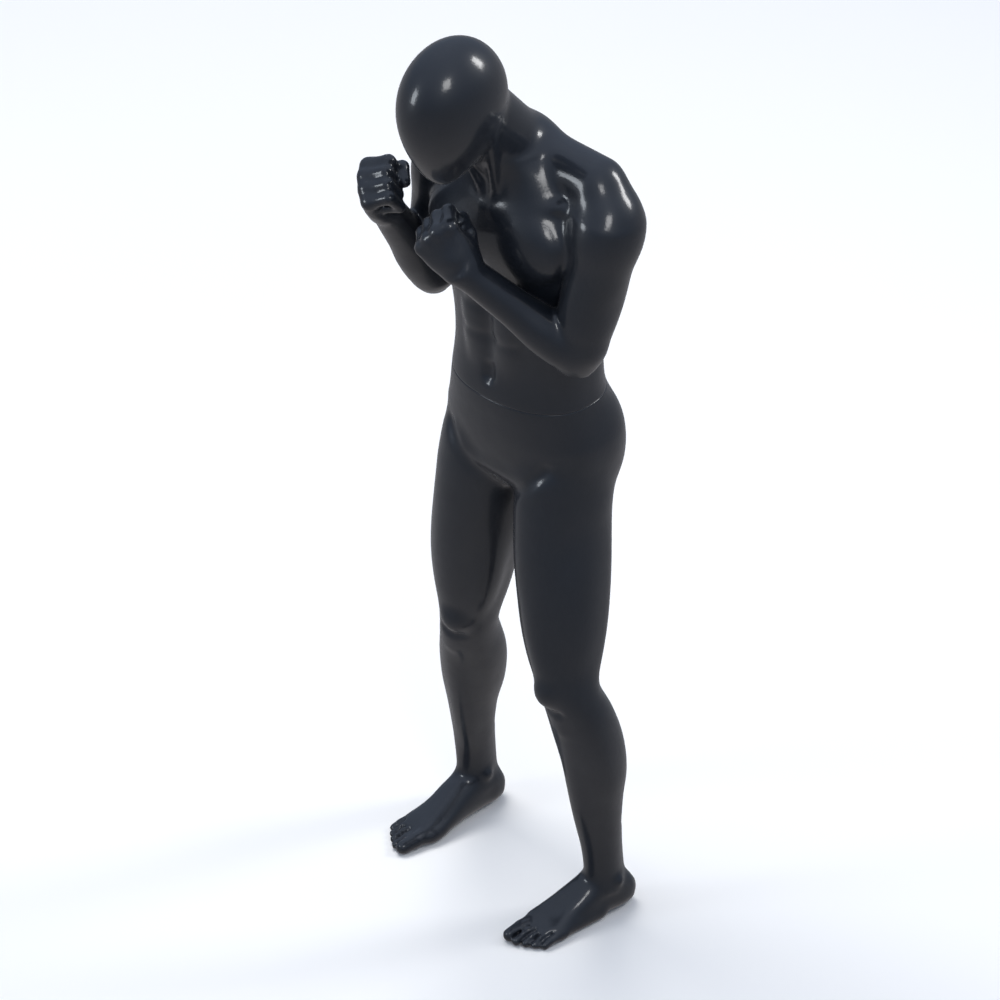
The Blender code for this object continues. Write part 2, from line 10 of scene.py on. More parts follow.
import bmesh
import bpy
import numpy as np
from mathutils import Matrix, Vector

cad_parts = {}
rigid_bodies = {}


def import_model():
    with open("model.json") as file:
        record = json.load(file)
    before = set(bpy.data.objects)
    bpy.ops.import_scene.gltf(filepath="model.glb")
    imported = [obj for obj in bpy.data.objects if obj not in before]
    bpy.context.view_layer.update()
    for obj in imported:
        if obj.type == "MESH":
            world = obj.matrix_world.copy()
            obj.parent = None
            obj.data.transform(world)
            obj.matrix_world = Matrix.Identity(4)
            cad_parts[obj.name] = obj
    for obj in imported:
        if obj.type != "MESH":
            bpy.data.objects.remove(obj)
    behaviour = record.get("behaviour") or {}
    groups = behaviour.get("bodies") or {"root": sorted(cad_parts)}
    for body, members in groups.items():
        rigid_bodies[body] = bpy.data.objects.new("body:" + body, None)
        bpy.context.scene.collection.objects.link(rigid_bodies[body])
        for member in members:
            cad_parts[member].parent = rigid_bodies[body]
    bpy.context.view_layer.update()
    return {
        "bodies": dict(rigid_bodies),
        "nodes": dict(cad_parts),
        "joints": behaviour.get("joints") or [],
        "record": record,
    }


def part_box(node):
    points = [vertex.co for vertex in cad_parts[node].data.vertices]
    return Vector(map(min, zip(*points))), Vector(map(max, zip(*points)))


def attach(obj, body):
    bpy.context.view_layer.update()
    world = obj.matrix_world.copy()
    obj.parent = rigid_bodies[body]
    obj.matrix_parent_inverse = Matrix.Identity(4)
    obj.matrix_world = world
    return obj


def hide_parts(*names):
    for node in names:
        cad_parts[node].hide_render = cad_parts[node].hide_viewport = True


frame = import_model()

# The figure, in its own frame: plain numbers, no scene objects
UP = np.array([0.0, 0.0, 1.0])
AHEAD = np.array([0.0, -1.0, 0.0])

STEP = 0.0040            # grid spacing of the skin's field
WALL = 0.005             # moulded shell thickness, seen at the waist
CAVITY = 0.080           # how far the hollow is carved from the seam
SEAM_Z = 1.050           # height of the waist seam
PULL_IN = 0.50           # shares of the way to the neighbours' mean, in turns,
PUSH_BACK = 0.53         # when the grid's ripple is evened out
FIGURE_LOW = (-0.29, -0.32, -0.012)
FIGURE_HIGH = (0.31, 0.19, 1.832)

# height, centre to the left, centre ahead, half width, front, back
TRUNK = (
    (0.835, 0.000, 0.000, 0.040, 0.046, 0.050),
    (0.880, 0.000, -0.003, 0.128, 0.086, 0.092),
    (0.920, 0.001, -0.004, 0.156, 0.096, 0.106),
    (0.960, 0.002, -0.002, 0.160, 0.101, 0.110),
    (1.000, 0.002, 0.000, 0.151, 0.104, 0.107),
    (1.050, 0.002, 0.002, 0.142, 0.106, 0.102),
    (1.110, 0.004, 0.003, 0.137, 0.102, 0.097),
    (1.180, 0.006, 0.006, 0.138, 0.102, 0.100),
    (1.260, 0.009, 0.010, 0.147, 0.107, 0.109),
    (1.340, 0.013, 0.014, 0.160, 0.116, 0.118),
    (1.400, 0.018, 0.018, 0.163, 0.119, 0.122),
    (1.450, 0.022, 0.027, 0.151, 0.104, 0.118),
    (1.490, 0.024, 0.038, 0.122, 0.084, 0.108),
    (1.530, 0.020, 0.052, 0.085, 0.066, 0.088),
    (1.560, 0.014, 0.068, 0.060, 0.055, 0.066),
)
LEFT_LEG = (
    (0.055, 0.162, -0.012, 0.029, 0.034, 0.034),
    (0.105, 0.162, -0.008, 0.030, 0.034, 0.034),
    (0.160, 0.164, -0.002, 0.033, 0.035, 0.037),
    (0.240, 0.168, 0.010, 0.041, 0.040, 0.046),
    (0.320, 0.170, 0.024, 0.054, 0.046, 0.060),
    (0.390, 0.168, 0.041, 0.059, 0.048, 0.066),
    (0.455, 0.163, 0.058, 0.058, 0.048, 0.062),
    (0.505, 0.155, 0.070, 0.053, 0.050, 0.055),
    (0.565, 0.139, 0.062, 0.055, 0.064, 0.055),
    (0.640, 0.120, 0.046, 0.065, 0.078, 0.066),
    (0.720, 0.104, 0.030, 0.075, 0.088, 0.078),
    (0.800, 0.093, 0.015, 0.077, 0.094, 0.084),
    (0.862, 0.088, 0.006, 0.078, 0.094, 0.088),
    (0.920, 0.086, 0.002, 0.070, 0.084, 0.082),
    (0.960, 0.086, 0.000, 0.050, 0.060, 0.060),
)
RIGHT_LEG = (
    (0.055, -0.205, -0.087, 0.029, 0.034, 0.034),
    (0.105, -0.204, -0.083, 0.030, 0.034, 0.034),
    (0.160, -0.199, -0.074, 0.033, 0.035, 0.037),
    (0.240, -0.188, -0.058, 0.041, 0.040, 0.046),
    (0.315, -0.174, -0.040, 0.052, 0.046, 0.058),
    (0.385, -0.157, -0.020, 0.055, 0.048, 0.061),
    (0.450, -0.138, 0.002, 0.050, 0.050, 0.051),
    (0.500, -0.127, 0.014, 0.051, 0.050, 0.050),
    (0.565, -0.121, 0.014, 0.058, 0.064, 0.060),
    (0.640, -0.114, 0.010, 0.068, 0.078, 0.070),
    (0.720, -0.104, 0.006, 0.077, 0.088, 0.080),
    (0.800, -0.096, 0.002, 0.081, 0.094, 0.088),
    (0.862, -0.091, 0.000, 0.080, 0.094, 0.092),
    (0.920, -0.088, 0.000, 0.070, 0.084, 0.084),
    (0.960, -0.086, 0.000, 0.050, 0.060, 0.060),
)
# along the sole from the heel, offset inward, height, half width, up, down
FOOT = (
    (0.004, 0.000, 0.028, 0.012, 0.014, 0.014),
    (0.014, 0.000, 0.030, 0.022, 0.026, 0.026),
    (0.032, 0.000, 0.033, 0.030, 0.034, 0.031),
    (0.060, 0.000, 0.038, 0.032, 0.042, 0.038),
    (0.085, 0.002, 0.040, 0.032, 0.043, 0.040),
    (0.115, 0.002, 0.035, 0.034, 0.034, 0.035),
    (0.145, 0.004, 0.027, 0.035, 0.026, 0.028),
    (0.175, 0.004, 0.020, 0.037, 0.019, 0.022),
    (0.200, 0.002, 0.015, 0.036, 0.014, 0.016),
    (0.212, 0.000, 0.012, 0.033, 0.011, 0.012),
)
# each toe: root and tip (along, inward), root and tip radius
TOES = (
    (0.192, 0.023, 0.250, 0.019, 0.0145, 0.0120),
    (0.200, 0.004, 0.249, 0.002, 0.0098, 0.0084),
    (0.198, -0.010, 0.240, -0.012, 0.0094, 0.0080),
    (0.193, -0.022, 0.230, -0.025, 0.0088, 0.0077),
    (0.184, -0.033, 0.218, -0.037, 0.0086, 0.0076),
)
# each finger, little to index: sideways, knuckle distance, knuckle drop, radius
FINGERS = (
    (-0.0335, 0.076, 0.007, 0.0118),
    (-0.0115, 0.083, 0.003, 0.0126),
    (0.0115, 0.087, 0.000, 0.0131),
    (0.0340, 0.084, 0.001, 0.0130),
)
# shoulder, elbow and wrist; then each hand's directions: along, across and out of its back
LEFT_ARM = ((0.208, -0.028, 1.475), (0.184, -0.079, 1.208), (0.046, -0.206, 1.383))
LEFT_HAND = ((-0.557, -0.334, 0.76), (0.585, 0.490, 0.644), (0.587, -0.803, 0.078))
RIGHT_ARM = ((-0.150, -0.030, 1.445), (-0.205, -0.020, 1.166), (-0.191, -0.151, 1.375))
RIGHT_HAND = ((-0.01, -0.54, 0.84), (-0.52, 0.69, 0.50), (-0.73, -0.68, 0.0))


def unit(v):
    """The vector scaled to length 1."""
    v = np.asarray(v, float)
    return v / np.linalg.norm(v)


def axes_of(axis, front):
    """Side, front and axis directions, as rows, of a limb's own frame."""
    w = unit(axis)
    v = unit(np.asarray(front, float) - w * np.dot(front, w))
    return np.array([np.cross(w, v), v, w])


def smooth_curve(table, count=96):
    """Rows of a station table resampled on a cubic curve of its first column."""
    table = np.asarray(table, float)
    t = table[:, 0]
    slopes = np.gradient(table, t, axis=0)
    at = np.linspace(t[0], t[-1], count)
    k = np.clip(np.searchsorted(t, at, side="right") - 1, 0, len(t) - 2)
    h = (t[k + 1] - t[k])[:, None]
    s = (at - t[k])[:, None] / h
    return (table[k] * (2 * s ** 3 - 3 * s ** 2 + 1) + slopes[k] * h * (s ** 3 - 2 * s ** 2 + s)
            + table[k + 1] * (3 * s ** 2 - 2 * s ** 3) + slopes[k + 1] * h * (s ** 3 - s ** 2))


def smooth_min(a, b, blend):
    """The lesser of two distances, rounded where they are within the blend of each other."""
    h = np.maximum(blend - np.abs(a - b), 0.0) / blend
    return np.minimum(a, b) - h ** 3 * blend / 6.0


class Field:
    """Signed distances on a regular grid, built up shape by shape."""

    def __init__(self, low, high, step):
        self.low = np.asarray(low, float)
        self.high = np.asarray(high, float)
        self.step = step
        self.shape = np.ceil((self.high - self.low) / step).astype(int) + 1
        self.d = np.full(self.shape, 1.0, np.float32)

    def grid(self, first, last):
        """Sparse coordinates of a block of the grid."""
        line = [self.low[i] + self.step * np.arange(first[i], last[i]) for i in range(3)]
        return np.meshgrid(*line, indexing="ij", sparse=True)

    def window(self, low, high):
        """The block that holds a box: its slices and its coordinates."""
        first = np.floor((np.asarray(low) - self.low) / self.step).astype(int)
        last = np.ceil((np.asarray(high) - self.low) / self.step).astype(int) + 1
        first = np.clip(first, 0, self.shape)
        last = np.clip(last, 0, self.shape)
        return (tuple(slice(*pair) for pair in zip(first, last)), *self.grid(first, last))

    def merge(self, where, d, blend):
        self.d[where] = smooth_min(self.d[where], d, blend)

    def ellipsoid(self, centre, radii, frame=None, blend=0.02):
        centre = np.asarray(centre, float)
        radii = np.asarray(radii, float)
        frame = np.eye(3) if frame is None else frame
        reach = np.abs(frame.T) @ radii + blend
        where, x, y, z = self.window(centre - reach, centre + reach)
        p = (x - centre[0], y - centre[1], z - centre[2])
        q = [(row[0] * p[0] + row[1] * p[1] + row[2] * p[2]) / r for row, r in zip(frame, radii)]
        k0 = np.sqrt(sum(c ** 2 for c in q)) + 1e-6
        k1 = np.sqrt(sum((c / r) ** 2 for c, r in zip(q, radii))) + 1e-6
        self.merge(where, k0 * (k0 - 1.0) / k1, blend)

    def belly(self, a, b, width, depth, blend=0.03):
        """A long rounded muscle from a to b."""
        a, b = np.asarray(a, float), np.asarray(b, float)
        radii = (width, depth, np.linalg.norm(b - a) / 2)
        self.ellipsoid((a + b) / 2, radii, axes_of(b - a, AHEAD), blend)

    def bone(self, a, b, ra, rb, blend=0.02):
        """A round bar from a to b, tapering from radius ra to rb."""
        a, b = np.asarray(a, float), np.asarray(b, float)
        reach = max(ra, rb) + blend
        where, x, y, z = self.window(np.minimum(a, b) - reach, np.maximum(a, b) + reach)
        t, away = along_segment(x, y, z, a, b)
        self.merge(where, np.sqrt(away) - (ra + (rb - ra) * t), blend)

    def limb(self, origin, axis, front, stations, blend=0.02, square=2.0):
        """An oval tube: stations are (distance, side, ahead, half width, front, back)."""
        origin = np.asarray(origin, float)
        frame = axes_of(axis, front)
        curve = smooth_curve(stations)
        spread = np.abs(curve[:, 1:3]).max() + curve[:, 3:6].max() + blend
        ends = [origin + frame[2] * curve[0, 0], origin + frame[2] * curve[-1, 0]]
        size = (np.abs(frame[0]) + np.abs(frame[1])) * spread + np.abs(frame[2]) * blend
        where, x, y, z = self.window(np.minimum(*ends) - size, np.maximum(*ends) + size)
        p = (x - origin[0], y - origin[1], z - origin[2])
        u, v, t = [row[0] * p[0] + row[1] * p[1] + row[2] * p[2] for row in frame]
        inside = np.clip(t, curve[0, 0], curve[-1, 0])
        side, ahead, width, fore, aft = [np.interp(inside, curve[:, 0], curve[:, i])
                                         for i in range(1, 6)]
        u = u - side
        v = v - ahead
        depth = np.where(v > 0, fore, aft)
        rho = ((np.abs(u) / width) ** square + (np.abs(v) / depth) ** square) ** (1.0 / square)
        away = np.sqrt(u * u + v * v)
        d = np.where(rho < 1e-3, -np.minimum(width, depth), away - away / np.maximum(rho, 1e-4))
        past = np.abs(t - inside)
        d = np.where(past > 0, np.sqrt(np.maximum(d, 0) ** 2 + past ** 2), d)
        self.merge(where, d, blend)

    def stroke(self, points, width, depth):
        """Press a soft line into the surface, or raise it where the depth is negative."""
        pts = np.asarray(points, float)
        reach = 2.2 * width
        where, x, y, z = self.window(pts.min(0) - reach, pts.max(0) + reach)
        best = np.inf
        for a, b in zip(pts, pts[1:]):
            best = np.minimum(best, along_segment(x, y, z, a, b)[1])
        self.d[where] += (depth * np.exp(-best / (width / 1.5) ** 2 / 2)).astype(np.float32)

    def surface(self):
        """Vertices and quads of the zero surface, one vertex to each crossed cell."""
        inside = self.d < 0
        corners = [(i, j, k) for i in (0, 1) for j in (0, 1) for k in (0, 1)]
        cut = [slice(0, -1), slice(1, None)]
        total = sum(inside[cut[i], cut[j], cut[k]].astype(np.uint8) for i, j, k in corners)
        cells = np.argwhere((total > 0) & (total < 8))
        index = np.full(total.shape, -1, np.int32)
        index[tuple(cells.T)] = np.arange(len(cells))
        value = {c: self.d[tuple((cells + c).T)] for c in corners}
        found = np.zeros((len(cells), 3))
        count = np.zeros(len(cells))
        for start in corners:
            for axis in range(3):
                if start[axis]:
                    continue
                end = tuple(int(i == axis) + c for i, c in enumerate(start))
                v0, v1 = value[start], value[end]
                cross = (v0 < 0) != (v1 < 0)
                share = np.where(cross, v0 / np.where(cross, v0 - v1, 1.0), 0.0)
                point = np.tile(np.array(start, float), (len(cells), 1))
                point[:, axis] = share
                found += point * cross[:, None]
                count += cross
        verts = self.low + self.step * (cells + found / count[:, None])
        quads = []
        for axis in range(3):
            one, two = (axis + 1) % 3, (axis + 2) % 3
            before, after = [slice(None)] * 3, [slice(None)] * 3
            before[axis], after[axis] = cut
            edges = np.argwhere(inside[tuple(before)] != inside[tuple(after)])
            ring = []
            for p, q in ((-1, -1), (0, -1), (0, 0), (-1, 0)):
                cell = edges.copy()
                cell[:, one] += p
                cell[:, two] += q
                ring.append(index[tuple(cell.T)])
            quad = np.stack(ring, 1)
            flip = ~inside[tuple(edges.T)]
            quad[flip] = quad[flip][:, ::-1]
            quads.append(quad)
        return verts, np.concatenate(quads)


def along_segment(x, y, z, a, b):
    """Share of the way from a to b, and the squared distance from the segment."""
    ab = b - a
    t = ((x - a[0]) * ab[0] + (y - a[1]) * ab[1] + (z - a[2]) * ab[2]) / ab.dot(ab)
    t = np.clip(t, 0.0, 1.0)
    away = ((x - a[0] - ab[0] * t) ** 2 + (y - a[1] - ab[1] * t) ** 2
            + (z - a[2] - ab[2] * t) ** 2)
    return t, away


def station_at(stations, height):
    """The station values at a height, worked out between rows."""
    rows = np.array(stations)
    return [np.interp(height, rows[:, 0], rows[:, i]) for i in range(1, 6)]


def trunk_front(height, side, depth=0.0):
    """A point on the front of the trunk, or this deep under it."""
    cx, ahead, width, fore, _ = station_at(TRUNK, height)
    share = (1 - min(abs(side / width), 0.98) ** 2.25) ** (1 / 2.25)
    return np.array([cx + side, -(ahead + fore * share) + depth, height])


def trunk_back(height, side, depth=0.0):
    """A point on the back of the trunk, or this deep under it."""
    cx, ahead, width, _, aft = station_at(TRUNK, height)
    share = (1 - min(abs(side / width), 0.98) ** 2.25) ** (1 / 2.25)
    return np.array([cx + side, -(ahead - aft * share) - depth, height])


def sculpt_trunk(f):
    f.limb((0, 0, 0), UP, AHEAD, TRUNK, 0.03, 2.25)
    for hand in (1, -1):
        rise = 0.012 * hand
        f.ellipsoid((0.072 * hand, 0.054, 0.905), (0.075, 0.066, 0.084), blend=0.05)   # buttocks
        f.ellipsoid((0.090 * hand, 0.045, 0.965), (0.058, 0.058, 0.072), blend=0.05)   # hips
        chest = trunk_front(1.395, 0.070 * hand, 0.026)
        f.ellipsoid(chest + UP * rise, (0.078, 0.034, 0.064), blend=0.045)
        f.ellipsoid((0.012 + 0.104 * hand, 0.008, 1.330 + rise), (0.056, 0.072, 0.135), blend=0.07)
        f.belly(trunk_back(1.06, 0.036 * hand, 0.020), trunk_back(1.38, 0.040 * hand, 0.024),
                0.030, 0.024, 0.045)
        f.belly(trunk_front(1.09, 0.034 * hand, 0.019), trunk_front(1.33, 0.036 * hand, 0.020),
                0.031, 0.021, 0.016)


def sculpt_neck(f):
    f.bone((0.012, -0.050, 1.530), (-0.012, -0.165, 1.675), 0.060, 0.056, 0.035)
    f.bone((0.012, -0.012, 1.514), (-0.004, -0.127, 1.670), 0.053, 0.049, 0.030)
    f.bone((0.028, -0.110, 1.470), (0.048, -0.152, 1.640), 0.010, 0.010, 0.012)
    f.bone((0.008, -0.110, 1.470), (-0.060, -0.152, 1.635), 0.010, 0.010, 0.012)
    f.bone((0.020, -0.020, 1.534), (0.172, -0.016, 1.526), 0.043, 0.047, 0.05)
    f.bone((0.010, -0.024, 1.532), (-0.125, -0.022, 1.475), 0.042, 0.042, 0.045)
    for hand, shoulder in ((1, LEFT_ARM[0]), (-1, RIGHT_ARM[0])):
        joint = np.array(shoulder) - (0.018 * hand, 0.0, 0.0)
        f.bone(trunk_back(1.445 + 0.012 * hand, 0.070 * hand, 0.058),
               joint + (0, 0.016, -0.008), 0.056, 0.048, 0.06)
        f.bone(trunk_back(1.360 + 0.012 * hand, 0.085 * hand, 0.056),
               joint + (0, 0.016, -0.062), 0.052, 0.040, 0.06)
    f.bone((0.036, -0.116, 1.462), (0.142, -0.074, 1.492), 0.0110, 0.0080, 0.022)   # collarbones
    f.bone((0.004, -0.116, 1.460), (-0.095, -0.076, 1.464), 0.0110, 0.0080, 0.022)


def sculpt_head(f):
    """A faceless egg, narrow at the chin."""
    centre = np.array([-0.012, -0.190, 1.670])
    axes = axes_of((0.06, 0.10, 1.0), AHEAD)
    half_width, face, nape, half_height = 0.080, 0.103, 0.110, 0.144
    where, x, y, z = f.window(centre - 0.16, centre + 0.16)
    p = (x - centre[0], y - centre[1], z - centre[2])
    u, v, w = [row[0] * p[0] + row[1] * p[1] + row[2] * p[2] for row in axes]
    share = np.clip(w / half_height, -1.2, 1.2)
    grow = 1 + 0.21 * share - 0.17 * share ** 2
    depth = np.where(v > 0, face, nape) * grow
    v = v + 0.006 * (1 - share)
    rho = np.sqrt((u / half_width / grow) ** 2 + (v / depth) ** 2 + share ** 2) + 1e-6
    away = np.sqrt(u * u + v * v + w * w)
    f.merge(where, (away - away / rho) * 0.9, 0.014)


def sculpt_leg(f, stations, heel, toe_turn):
    f.limb((0, 0, 0), UP, AHEAD, stations, 0.035)
    inward = -1.0 if stations[0][1] > 0 else 1.0

    def inner(height, side, ahead):
        """A point inside the leg: side and ahead are shares of its half sizes there."""
        cx, cf, width, fore, aft = station_at(stations, height)
        depth = fore if ahead > 0 else aft
        return np.array([cx + inward * side * width, -(cf + ahead * depth), height])

    f.belly(inner(0.86, -0.15, 0.50), inner(0.53, -0.05, 0.42), 0.042, 0.040, 0.03)
    f.belly(inner(0.76, 0.60, 0.25), inner(0.515, 0.60, 0.40), 0.032, 0.035, 0.022)
    f.belly(inner(0.82, -0.50, 0.15), inner(0.54, -0.60, 0.15), 0.036, 0.046, 0.03)
    f.belly(inner(0.86, 0.10, -0.50), inner(0.50, 0.45, -0.45), 0.038, 0.038, 0.03)
    f.belly(inner(0.86, -0.30, -0.45), inner(0.52, -0.50, -0.40), 0.034, 0.036, 0.03)
    f.ellipsoid(inner(0.512, 0.12, 0.70), (0.028, 0.026, 0.031), blend=0.018)      # kneecap
    f.bone(inner(0.462, 0.00, 0.64), inner(0.435, 0.00, 0.70), 0.013, 0.012, 0.02)
    f.stroke([inner(0.476, -0.20, 0.90), inner(0.471, 0.12, 0.97), inner(0.476, 0.45, 0.80)],
             0.0085, 0.0045)
    f.belly(inner(0.48, 0.38, -0.40), inner(0.255, 0.25, -0.60), 0.031, 0.034, 0.022)
    f.belly(inner(0.48, -0.38, -0.38), inner(0.275, -0.25, -0.60), 0.029, 0.032, 0.022)
    f.belly(inner(0.47, -0.20, 0.45), inner(0.13, 0.25, 0.50), 0.024, 0.022, 0.02)
    f.bone(inner(0.17, 0.00, -0.72), inner(0.055, 0.00, -0.95), 0.011, 0.013, 0.03)
    sculpt_foot(f, np.array([*heel, 0.0]), toe_turn, inward)


def sculpt_foot(f, heel, toe_turn, inward):
    turn = math.radians(toe_turn)
    forward = np.array([math.sin(turn), -math.cos(turn), 0.0])
    inner_side = np.array([math.cos(turn), math.sin(turn), 0.0]) * inward
    sign = np.sign(np.cross(forward, UP) @ inner_side)
    f.limb(heel, forward, UP, [(a, b * sign, *rest) for a, b, *rest in FOOT], 0.025, 2.3)

    def at(along, inn, height):
        return heel + forward * along + inner_side * inn + UP * height

    f.bone(at(0.062, 0.022, 0.080), at(0.062, 0.026, 0.080), 0.014, 0.010, 0.016)   # ankle bones
    f.bone(at(0.056, -0.024, 0.070), at(0.056, -0.028, 0.070), 0.013, 0.009, 0.016)
    f.bone(at(0.110, 0.008, 0.058), at(0.190, 0.020, 0.016), 0.013, 0.012, 0.02)    # instep
    f.bone(at(0.176, 0.022, 0.015), at(0.190, 0.024, 0.015), 0.016, 0.015, 0.016)   # ball
    f.bone(at(0.090, -0.020, 0.014), at(0.180, -0.028, 0.012), 0.012, 0.010, 0.025)
    for k, (a0, i0, a1, i1, r0, r1) in enumerate(TOES):
        am, im = (a0 + a1) / 2 + 0.003, (i0 + i1) / 2
        middle = at(am, im, r0 * 0.95 + (0.004 if k else 0.001))
        f.bone(at(a0 - 0.01, i0, r0 + 0.003), middle, r0, r0 * 0.92, 0.008)
        f.bone(middle, at(a1, i1, r1), r0 * 0.92, r1, 0.003)
    for one, two in zip(TOES, TOES[1:]):
        root = at((one[0] + two[0]) / 2 + 0.004, (one[1] + two[1]) / 2, 0.019)
        tip = at((one[2] + two[2]) / 2, (one[3] + two[3]) / 2, 0.013)
        f.stroke([root, tip], 0.0040, 0.0065)


def sculpt_arm(f, shoulder, elbow, wrist, out):
    """Upper arm and forearm; out points away from the body."""
    shoulder, elbow, wrist = map(np.asarray, (shoulder, elbow, wrist))
    down = unit(elbow - shoulder)
    length = np.linalg.norm(elbow - shoulder)
    ahead = axes_of(down, AHEAD)[1]
    side = unit(np.asarray(out) - down * np.dot(out, down))
    axes = np.array([side, ahead, down])

    def at(share, aside, forward):
        return shoulder + down * (share * length) + side * aside + ahead * forward

    f.limb(shoulder, down, AHEAD, (
        (0.00, 0, 0, 0.050, 0.054, 0.056), (0.25 * length, 0, 0, 0.050, 0.053, 0.055),
        (0.50 * length, 0, 0, 0.049, 0.052, 0.053), (0.80 * length, 0, 0, 0.048, 0.048, 0.050),
        (0.96 * length, 0, 0, 0.041, 0.040, 0.042), (1.08 * length, 0, 0, 0.018, 0.018, 0.019)),
        0.02)
    f.ellipsoid(at(0.10, 0.004, 0.000), (0.060, 0.066, 0.082), axes, 0.03)     # deltoid
    f.ellipsoid(at(0.32, 0.008, 0.002), (0.045, 0.050, 0.090), axes, 0.025)
    f.ellipsoid(at(0.56, 0.000, 0.018), (0.038, 0.036, 0.090), axes, 0.022)    # biceps
    f.ellipsoid(at(0.52, 0.004, -0.020), (0.041, 0.038, 0.100), axes, 0.022)   # triceps
    f.ellipsoid(at(0.99, 0.000, -0.007), (0.031, 0.033, 0.040), axes, 0.04)    # elbow
    fore = unit(wrist - elbow)
    reach = np.linalg.norm(wrist - elbow)
    f.limb(elbow, fore, -down, (
        (-0.10 * reach, 0, 0, 0.013, 0.013, 0.013), (-0.02 * reach, 0, 0, 0.031, 0.031, 0.031),
        (0.12 * reach, 0, 0, 0.041, 0.040, 0.039),
        (0.30 * reach, 0, 0, 0.042, 0.041, 0.040), (0.55 * reach, 0, 0, 0.036, 0.035, 0.034),
        (0.80 * reach, 0, 0, 0.034, 0.031, 0.031), (1.00 * reach, 0, 0, 0.034, 0.028, 0.028),
        (1.05 * reach, 0, 0, 0.034, 0.027, 0.027)), 0.02)


def sculpt_hand(f, wrist, along, across, back):
    """A closed fist: along runs wrist to knuckles, across little finger to index."""
    h = unit(along)
    s = unit(np.asarray(across) - h * np.dot(across, h))
    n = np.cross(h, s)
    n = n if np.dot(n, back) > 0 else -n

    def at(a, b, c):
        return np.asarray(wrist) + h * a + s * b + n * c

    f.bone(at(0.0, 0, 0), at(0.03, 0.002, 0), 0.026, 0.028, 0.02)
    f.ellipsoid(at(0.046, 0, -0.003), (0.048, 0.043, 0.021), np.array([h, s, n]), 0.025)
    for off, length, drop, r in FINGERS:
        knuckle = at(length, off, 0.002 - drop)
        bend = at(length + 0.008, off * 0.97, -0.038 - drop)
        tip = at(length - 0.028, off * 0.92, -0.042 - drop)
        f.bone(at(0.012, off * 0.50, 0.002), knuckle, 0.017, r, 0.022)
        f.bone(knuckle, bend, r, r * 0.95, 0.012)
        f.bone(bend, tip, r * 0.95, r * 0.86, 0.007)
        f.bone(tip, at(length - 0.030, off * 0.9, -0.022), r * 0.86, r * 0.75, 0.007)
    for one, two in zip(FINGERS, FINGERS[1:]):
        off, length = (one[0] + two[0]) / 2, (one[1] + two[1]) / 2
        f.stroke([at(length + 0.012, off, 0.004), at(length + 0.020, off, -0.014),
                  at(length + 0.021, off, -0.040)], 0.0042, 0.0018)
    f.bone(at(0.010, 0.018, -0.008), at(0.044, 0.038, -0.026), 0.016, 0.0142, 0.016)   # thumb
    f.bone(at(0.044, 0.038, -0.026), at(0.064, 0.036, -0.052), 0.0136, 0.0122, 0.006)
    f.bone(at(0.064, 0.036, -0.052), at(0.062, 0.008, -0.060), 0.0122, 0.0100, 0.005)


def press_lines(f):
    """The shallow furrows of the trunk."""
    middle = [trunk_front(z, 0.0, 0.002) for z in (1.345, 1.30, 1.24, 1.18, 1.125)]
    f.stroke(middle, 0.013, 0.0040)
    for z, half in ((1.300, 0.052), (1.238, 0.054), (1.176, 0.054)):
        f.stroke([trunk_front(z + 0.004, -half), trunk_front(z, 0.0), trunk_front(z + 0.004, half)],
                 0.013, 0.0026)
    navel = trunk_front(1.100, 0.0)
    f.stroke([navel + UP * 0.009, navel - UP * 0.007], 0.0105, 0.0190)
    spine = [trunk_back(z, 0.0) for z in (1.10, 1.16, 1.24, 1.32, 1.40, 1.46)]
    f.stroke(spine, 0.024, 0.0065)
    f.stroke([(0.000, 0.112, 0.985), (0.000, 0.116, 0.930), (0.000, 0.090, 0.872)], 0.014, 0.016)
    for hand in (1, -1):
        f.stroke([(0.112 * hand, -0.080, 0.935), (0.078 * hand, -0.098, 0.896),
                  (0.030 * hand, -0.088, 0.852)], 0.0115, 0.0075)                  # groin
        f.stroke([(0.122 * hand, 0.070, 0.838), (0.070 * hand, 0.106, 0.826),
                  (0.026 * hand, 0.088, 0.836)], 0.015, 0.0060)                    # under the seat


def sculpt_figure(step):
    """The whole outer skin as one field."""
    body = Field(FIGURE_LOW, FIGURE_HIGH, step)
    sculpt_trunk(body)
    sculpt_neck(body)
    sculpt_leg(body, LEFT_LEG, (0.171, 0.078), -10.0)
    sculpt_leg(body, RIGHT_LEG, (-0.200, 0.147), -4.0)
    sculpt_head(body)
    press_lines(body)
    arms = Field(FIGURE_LOW, FIGURE_HIGH, step)
    for limb, hand, out in ((LEFT_ARM, LEFT_HAND, (1, 0, 0)), (RIGHT_ARM, RIGHT_HAND, (-1, 0, 0))):
        sculpt_arm(arms, *limb, out)
        sculpt_hand(arms, limb[2], *hand)
    x, y, z = body.grid((0, 0, 0), body.shape)
    near = np.minimum(np.sqrt((x - 0.17) ** 2 + (y + 0.02) ** 2 + (z - 1.48) ** 2),
                      np.sqrt((x + 0.115) ** 2 + (y + 0.02) ** 2 + (z - 1.45) ** 2))
    blend = 0.004 + 0.060 * np.clip(1.5 - near / 0.10, 0, 1)
    body.d = smooth_min(body.d, arms.d, blend)
    sole = -smooth_min(-body.d, z, 0.006)
    body.d = sole.astype(np.float32)
    return body


